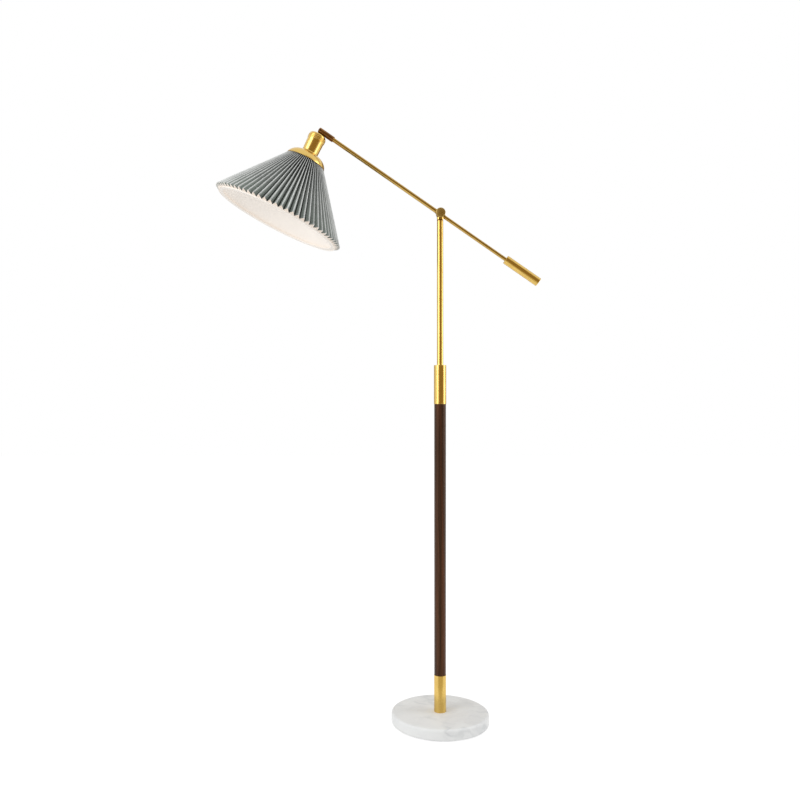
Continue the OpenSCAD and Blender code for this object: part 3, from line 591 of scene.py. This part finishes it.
def grow(piece, tree, values):
    """Run a Geometry Nodes tree on a piece and keep its result as a plain mesh"""
    modifier = piece.modifiers.new("Form", "NODES")
    modifier.node_group = tree
    for socket in tree.interface.items_tree:
        if socket.in_out == "INPUT" and socket.name in values:
            modifier[socket.identifier] = values[socket.name]
    depsgraph = bpy.context.evaluated_depsgraph_get()
    mesh = bpy.data.meshes.new_from_object(
        piece.evaluated_get(depsgraph), preserve_all_data_layers=True, depsgraph=depsgraph)
    if not mesh.polygons:
        raise RuntimeError(f"{tree.name} grew nothing for {piece.name}")
    piece.modifiers.clear()
    piece.data = mesh
    mesh.name = piece.name
    return piece


def into_head(graph, geometry, given):
    """Move a form from the head's own axes to its place"""
    turn = graph.join(0.0, given["Tilt"], 0.0)
    inputs = {"Geometry": geometry, "Translation": given["Hinge"], "Rotation": turn}
    return graph.add("GeometryNodeTransform", inputs).outputs[0]


def live(sockets, name):
    """The socket of that name that a node's data type has in use"""
    return next(socket for socket in sockets if socket.name == name and socket.enabled)


def pleat_tree():
    """A closed band of cloth, folded into pleats round a cone"""
    tree, g, given, out = new_group("Pleats", "GeometryNodeTree", {
        "Pleats": "Int", "Steps": "Int", "Rows": "Int", "Ridge Top": "Vector",
        "Ridge Low": "Vector", "Valley Top": "Vector", "Valley Low": "Vector",
        "Cloth": "Float", "Sharpness": "Float", "Unevenness": "Float", "Seed": "Int",
        "Hinge": "Vector", "Tilt": "Float", "Face": "Material", "Back": "Material",
    }, {"Geometry": "Geometry"})

    # A grid that goes once round the cone, down its outside and back up its inside
    columns = g.math("MULTIPLY", given["Pleats"], given["Steps"])
    loops = g.math("MULTIPLY", given["Rows"], 2.0)
    last = g.math("SUBTRACT", given["Rows"], 1.0)
    grid = g.add("GeometryNodeMeshGrid", {
        "Size X": 1.0, "Size Y": 1.0, "Vertices X": g.math("ADD", columns, 1.0),
        "Vertices Y": g.math("ADD", loops, 1.0)}).outputs["Mesh"]
    spot = g.split(g.add("GeometryNodeInputPosition").outputs[0])
    round_share = g.math("ADD", spot[0], 0.5)
    loop = g.math("ROUND", g.math("MULTIPLY", g.math("ADD", spot[1], 0.5), loops))
    loop = g.math("MODULO", loop, loops)
    inside = g.math("GREATER_THAN", loop, g.math("SUBTRACT", given["Rows"], 0.5))
    out_way = g.math("DIVIDE", loop, last)
    back_way = g.math("SUBTRACT", loop, given["Rows"])
    back_way = g.math("SUBTRACT", 1.0, g.math("DIVIDE", back_way, last))
    down = g.mix(inside, out_way, back_way)

    # Place within the pleat: the columns crowd at the folds, which are a little rounded
    turns = g.math("MULTIPLY", round_share, given["Pleats"])
    hair = 0.0001                    # keeps a fold's own column with the pleat it starts
    number = g.math("FLOOR", g.math("ADD", turns, hair))
    phase = g.math("SUBTRACT", turns, number)
    two_waves, crowding = 4 * math.pi, 0.8
    crowd = g.math("SINE", g.math("MULTIPLY", phase, two_waves))
    phase = g.math("MULTIPLY_ADD", crowd, -crowding / two_waves, phase)
    swing = g.math("COSINE", g.math("MULTIPLY", phase, 2 * math.pi))
    sharp = g.math("ARCSINE", given["Sharpness"])
    bend = g.math("ARCSINE", g.math("MULTIPLY", swing, given["Sharpness"]))
    fold = g.math("ADD", 0.5, g.math("DIVIDE", bend, g.math("MULTIPLY", sharp, 2.0)))

    def random(low, high, offset):
        node = g.add("FunctionNodeRandomValue", data_type="FLOAT")
        seed = g.math("ADD", given["Seed"], float(offset))
        for label, value in (("Min", low), ("Max", high), ("ID", number), ("Seed", seed)):
            g.feed(live(node.inputs, label), value)
        return live(node.outputs, "Value")

    stray = g.math("MULTIPLY", g.math("MULTIPLY", fold, down), given["Unevenness"])
    ridge = g.mix_places(down, given["Ridge Top"], given["Ridge Low"])
    valley = g.mix_places(down, given["Valley Top"], given["Valley Low"])
    line = g.split(g.mix_places(fold, valley, ridge))
    radius = g.math("MULTIPLY_ADD", random(-1.0, 1.0, 0), stray, line[0])
    radius = g.math("SUBTRACT", radius, g.math("MULTIPLY", inside, given["Cloth"]))
    aside = g.math("DIVIDE", g.math("MULTIPLY", random(-1.0, 1.0, 7), stray), radius)
    angle = g.math("MULTIPLY_ADD", g.math("ADD", number, phase),
                   g.math("DIVIDE", 2 * math.pi, given["Pleats"]), aside)
    spot = g.join(g.math("MULTIPLY", radius, g.math("COSINE", angle)),
                  g.math("MULTIPLY", radius, g.math("SINE", angle)),
                  g.math("MULTIPLY", line[2], -1.0))

    # How far a point is along the cloth: across the face, from its inner fold, and down
    width = g.math("MULTIPLY", radius, g.math("DIVIDE", math.pi, given["Pleats"]))
    reach = g.vector("LENGTH", g.vector("SUBTRACT", ridge, valley))
    face = g.math("SQRT", g.math("MULTIPLY_ADD", width, width, g.math("POWER", reach, 2.0)))
    slant = g.vector("LENGTH", g.vector("SUBTRACT", given["Ridge Low"], given["Ridge Top"]))
    flat = g.join(g.math("MULTIPLY", fold, face), g.math("MULTIPLY", down, slant), 0.0)

    # Where its ends meet, the grid is merged; the outside gets its own finish
    mesh = grid
    for label, kind, value in (("fold", "FLOAT", fold), ("inside", "FLOAT", inside),
                               ("flat", "FLOAT_VECTOR", flat)):
        store = g.add("GeometryNodeStoreNamedAttribute", {"Geometry": mesh, "Name": label},
                      data_type=kind)
        g.feed(live(store.inputs, "Value"), value)
        mesh = store.outputs["Geometry"]
    mesh = g.add("GeometryNodeSetPosition", {"Geometry": mesh, "Position": spot}).outputs[0]
    mesh = g.add("GeometryNodeMergeByDistance", {
        "Geometry": mesh, "Distance": 0.002 * MM}).outputs[0]
    mesh = into_head(g, mesh, given)
    mesh = g.add("GeometryNodeRealizeInstances", {"Geometry": mesh}).outputs[0]
    mesh = g.add("GeometryNodeSetMaterial", {
        "Geometry": mesh, "Material": given["Back"]}).outputs[0]
    named = g.add("GeometryNodeInputNamedAttribute", {"Name": "inside"}, data_type="FLOAT")
    outer = g.math("LESS_THAN", live(named.outputs, "Attribute"), 0.1)
    mesh = g.add("GeometryNodeSetMaterial", {
        "Geometry": mesh, "Selection": outer, "Material": given["Face"]}).outputs[0]
    g.feed(out["Geometry"], mesh)
    return tree


def grip_tree():
    """Small round ribs in a ring"""
    tree, g, given, out = new_group("Grips", "GeometryNodeTree", {
        "Count": "Int", "Radius": "Float", "Depth": "Float", "Rib Radius": "Float",
        "Rib Length": "Float", "Hinge": "Vector", "Tilt": "Float", "Finish": "Material",
    }, {"Geometry": "Geometry"})
    ring = g.add("GeometryNodeMeshCircle", {
        "Vertices": given["Count"], "Radius": given["Radius"]}).outputs[0]
    rib = g.add("GeometryNodeMeshCylinder", {
        "Vertices": 10, "Radius": given["Rib Radius"],
        "Depth": given["Rib Length"]}).outputs[0]
    ribs = g.add("GeometryNodeInstanceOnPoints", {"Points": ring, "Instance": rib}).outputs[0]
    down = g.join(0.0, 0.0, g.math("MULTIPLY", given["Depth"], -1.0))
    ribs = g.add("GeometryNodeTransform", {"Geometry": ribs, "Translation": down}).outputs[0]
    ribs = into_head(g, ribs, given)
    mesh = g.add("GeometryNodeRealizeInstances", {"Geometry": ribs}).outputs[0]
    mesh = g.add("GeometryNodeSetMaterial", {
        "Geometry": mesh, "Material": given["Finish"]}).outputs[0]
    g.feed(out["Geometry"], mesh)
    return tree


class LAMP_OT_foot(bpy.types.Operator):
    """Finish the marble foot, its pad and what is fixed in it"""
    bl_idname = "lamp.foot"
    bl_label = "Foot"

    def execute(self, context):
        finish_nodes(marble(), "marble_base")
        finish_nodes(foam_rubber(), "base_pad")
        finish_nodes(black_plastic(), "cord_gland")
        finish_nodes(steel("upright"), "clamp_plate", "spring_washer", "tie_nut", "tie_tube")
        return {"FINISHED"}


class LAMP_OT_pole(bpy.types.Operator):
    """Finish the walnut pole, its ferrules and the parts that join them"""
    bl_idname = "lamp.pole"
    bl_label = "Pole"

    def execute(self, context):
        finish_nodes(walnut(), "walnut_pole")
        finish_nodes(brass("upright"), "lower_ferrule", "upper_ferrule", "mast_tube")
        finish_nodes(steel("upright"), "lower_plug", "core_tube", "upper_plug")
        finish_nodes(black_steel("bolt"), "ferrule_screws")
        return {"FINISHED"}


class LAMP_OT_swivel(bpy.types.Operator):
    """Finish the swivel, the fork and the clamp knob"""
    bl_idname = "lamp.swivel"
    bl_label = "Swivel and knob"

    def execute(self, context):
        finish_nodes(brass("upright"), "pivot_fork")
        finish_nodes(bronze("upright"), "mast_bush")
        finish_nodes(aged_brass("bolt"), "clamp_knob")
        finish_nodes(bronze("bolt"), "pivot_bolt", "arm_block")
        finish_nodes(steel("bolt"), "clamp_washer")
        finish_nodes(steel("upright"), "swivel_nut")
        finish_nodes(black_plastic(), "friction_washers")
        finish_nodes(white_plastic(), "swivel_washer")
        return {"FINISHED"}


class LAMP_OT_arm(bpy.types.Operator):
    """Finish the arm, its counterweight and the head's hinge"""
    bl_idname = "lamp.arm"
    bl_label = "Arm"

    def execute(self, context):
        finish_nodes(shaded_arm_brass(), "front_arm_tube", "rear_arm_rod", "tube_insert")
        finish_nodes(brass("arm"), "counterweight")
        finish_nodes(bronze("arm"), "hinge_sleeve")
        finish_nodes(black_steel("arm"), "weight_screw", "sleeve_screw")
        finish_nodes(black_steel("bolt"), "hinge_screw")
        finish_nodes(steel("bolt"), "hinge_washers")
        return {"FINISHED"}


class LAMP_OT_head(bpy.types.Operator):
    """Finish the cup, the bell and the lampholder, and add the grips of its ring"""
    bl_idname = "lamp.head"
    bl_label = "Lampholder and bell"

    def execute(self, context):
        finish_nodes(bronze("head"), "head_knuckle")
        finish_nodes(brass("head"), "lampholder_cup", "bell_cap", "holder_contacts")
        finish_nodes(steel("head"), "stem_nut")
        finish_nodes(white_plastic(), "lampholder", "retaining_ring")
        finish_nodes(white_enamel(), "shade_carrier", "shade_top_ring")
        finish_nodes(aluminium("head"), "bulb_cap")
        finish_nodes(opal_glass(), "bulb_glass")
        s = settings("shade")
        grips = grow(new_piece("ring_grips"), grip_tree(), {
            "Count": s.grips, "Radius": s.grip_r, "Depth": s.grip_z,
            "Rib Radius": s.grip_size, "Rib Length": s.grip_len, "Hinge": HINGE,
            "Tilt": s.tilt, "Finish": white_plastic()})
        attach(grips, "head")
        return {"FINISHED"}


class LAMP_OT_shade(bpy.types.Operator):
    """Fold the pleated shade and finish its lining"""
    bl_idname = "lamp.shade"
    bl_label = "Pleated shade"

    def execute(self, context):
        s = settings("shade")
        ends = {"Ridge Top": (s.ridge_top_r, 0, s.ridge_top_z),
                "Ridge Low": (s.ridge_low_r, 0, s.ridge_low_z),
                "Valley Top": (s.valley_top_r, 0, s.valley_top_z),
                "Valley Low": (s.valley_low_r, 0, s.valley_low_z)}
        pleats = grow(new_piece("pleats"), pleat_tree(), {
            **ends, "Pleats": s.pleats, "Steps": s.steps, "Rows": s.rows, "Cloth": s.cloth,
            "Sharpness": s.sharpness, "Unevenness": s.unevenness, "Seed": s.seed,
            "Hinge": HINGE, "Tilt": s.tilt, "Face": pleated_cloth(), "Back": lining()})
        for polygon in pleats.data.polygons:
            polygon.use_smooth = True
        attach(pleats, "head")
        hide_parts("pleated_shade")

        # The cloth unfolded: two flat faces a pleat, measured between an outer fold and
        # the inner fold half a pleat further round
        half_turn = Matrix.Rotation(math.pi / s.pleats, 3, "Z")
        ridge_top, ridge_low = Vector(ends["Ridge Top"]), Vector(ends["Ridge Low"])
        valley_top = half_turn @ Vector(ends["Valley Top"])
        valley_low = half_turn @ Vector(ends["Valley Low"])
        face_area = (area_tri(ridge_top, ridge_low, valley_low)
                     + area_tri(ridge_top, valley_low, valley_top))
        finish_nodes(lining(), "shade_liner", "shade_hoop")
        return {"FINISHED"}


def set_camera(s):
    scene = bpy.context.scene
    camera = bpy.data.objects.new("camera", bpy.data.cameras.new("camera"))
    scene.collection.objects.link(camera)
    camera.location = s.camera
    camera.rotation_euler = (math.pi / 2, 0, 0)
    camera.data.lens = s.lens
    camera.data.sensor_width = 36
    camera.data.shift_x, camera.data.shift_y = s.shift
    camera.data.clip_start, camera.data.clip_end = 0.05, 60
    scene.camera = camera
    scene.view_settings.view_transform = "Standard"


def softbox(name, place, aim, size, power):
    light = bpy.data.lights.new(name, "AREA")
    light.shape = "RECTANGLE"
    light.size, light.size_y = size
    light.energy = power
    lamp = bpy.data.objects.new(name, light)
    bpy.context.scene.collection.objects.link(lamp)
    lamp.location = place
    lamp.rotation_euler = (Vector(aim) - Vector(place)).to_track_quat("-Z", "Y").to_euler()


def white_to_viewer(graph):
    """1 for rays from the camera, from gloss and through glass"""
    path = graph.add("ShaderNodeLightPath").outputs
    seen = graph.math("MAXIMUM", path["Is Camera Ray"], path["Is Glossy Ray"])
    return graph.math("MAXIMUM", seen, path["Is Transmission Ray"])


def set_world(s):
    """Soft light from all round, which the camera and the gloss see as white"""
    world = bpy.data.worlds.new("studio")
    bpy.context.scene.world = world
    world.use_nodes = True
    world.node_tree.nodes.clear()
    g = Graph(world.node_tree)
    strength = g.mix(white_to_viewer(g), s.daylight, 1.0)
    sky = g.add("ShaderNodeBackground", {"Color": (1, 1, 1), "Strength": strength})
    g.feed(g.add("ShaderNodeOutputWorld").inputs["Surface"], sky.outputs[0])


def floor_finish(s):
    """White to the camera with the lamp's shadow on it, and clear when seen from below"""
    made, g, surface = bare_material("Studio floor")
    matt = g.add("ShaderNodeBsdfDiffuse", {"Color": s.floor})
    soft = g.add("ShaderNodeBsdfDiffuse", {"Color": (0.3, 0.3, 0.3)})
    glow = g.add("ShaderNodeEmission", {"Color": (1, 1, 1), "Strength": 0.85})
    seen = g.add("ShaderNodeAddShader", {0: soft.outputs[0], 1: glow.outputs[0]})
    upper = g.add("ShaderNodeMixShader", {
        0: white_to_viewer(g), 1: matt.outputs[0], 2: seen.outputs[0]})
    clear = g.add("ShaderNodeBsdfTransparent")
    below = g.add("ShaderNodeNewGeometry").outputs["Backfacing"]
    both = g.add("ShaderNodeMixShader", {
        0: below, 1: upper.outputs[0], 2: clear.outputs[0]})
    g.feed(surface, both.outputs[0])
    return made


def stage_faces(name, faces, finishes):
    """A piece of the stage from flat faces: their corners, and the finish of each"""
    piece = new_piece(name)
    form = bmesh.new()
    for corners, finish in faces:
        face = form.faces.new([form.verts.new(corner) for corner in corners])
        face.material_index = finish
    form.to_mesh(piece.data)
    form.free()
    for finish in finishes:
        piece.data.materials.append(finish)
    return piece


class LAMP_OT_studio(bpy.types.Operator):
    """Set up the camera, the floor and the soft light"""
    bl_idname = "lamp.studio"
    bl_label = "Studio"

    def execute(self, context):
        s = settings("studio")
        set_camera(s)
        set_world(s)
        softbox("key_light", s.key_place, s.key_aim, (1.5, 2.4), s.key)
        softbox("fill_light", s.fill_place, s.fill_aim, (1.3, 2.4), s.fill)

        # The floor lies a hair below the pad, so that the two faces don't fight
        edge, level = 12, -0.2 * MM
        floor = [(-edge, -edge, level), (edge, -edge, level), (edge, edge, level),
                 (-edge, edge, level)]
        stage_faces("floor", [(floor, 0)], [floor_finish(s)])

        # The dim room that only gloss shows: a wall behind the camera, the floor before
        # the lamp, and a wall behind the lamp
        low = 2 * MM
        left, right, front, top = -1.5, 4.4, -2.7, 4.6
        wall = [(left, front, low), (right, front, low), (right, front, top),
                (left, front, top)]
        carpet = [(-0.9, front, low), (1.6, front, low), (0.35, -0.2, low),
                  (-0.25, -0.2, low)]
        half, back, height = 3.0, 3.0, 3.2
        rear = [(-half, back, low), (half, back, low), (half, back, height),
                (-half, back, height)]
        finishes = []
        for name, tone in (("Dim room", s.room), ("Dim floor", s.carpet)):
            dim, g, surface = bare_material(name)
            g.feed(surface, g.add("ShaderNodeEmission", {"Color": tone}).outputs[0])
            finishes.append(dim)
        room = stage_faces("dim_room", [(wall, 0), (carpet, 1), (rear, 0)], finishes)
        room.visible_camera = False
        room.visible_diffuse = False
        room.visible_shadow = False
        room.visible_transmission = False
        return {"FINISHED"}


STEPS = (LAMP_OT_studio, LAMP_OT_foot, LAMP_OT_pole, LAMP_OT_swivel, LAMP_OT_arm,
         LAMP_OT_head, LAMP_OT_shade)


class LAMP_PT_panel(bpy.types.Panel):
    """The lamp's pieces and settings"""
    bl_idname = "LAMP_PT_panel"
    bl_label = "Bridge floor lamp"
    bl_space_type = "VIEW_3D"
    bl_region_type = "UI"
    bl_category = "Lamp"

    def draw(self, context):
        for step in STEPS:
            self.layout.operator(step.bl_idname)
        for group, kind in GROUPS.items():
            box = self.layout.box()
            box.label(text=group.capitalize())
            for name in kind.__annotations__:
                box.prop(settings(group), name)


CLASSES = (*GROUPS.values(), *STEPS, LAMP_PT_panel)


def register():
    for kind in CLASSES:
        bpy.utils.register_class(kind)
    for group, kind in GROUPS.items():
        setattr(bpy.types.Scene, "lamp_" + group, PointerProperty(type=kind))


def unregister():
    for group in GROUPS:
        delattr(bpy.types.Scene, "lamp_" + group)
    for kind in reversed(CLASSES):
        bpy.utils.unregister_class(kind)


def main():
    register()
    bpy.ops.lamp.studio()
    bpy.ops.lamp.foot()
    bpy.ops.lamp.pole()
    bpy.ops.lamp.swivel()
    bpy.ops.lamp.arm()
    bpy.ops.lamp.head()
    bpy.ops.lamp.shade()
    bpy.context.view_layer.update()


if __name__ == "__main__":
    main()
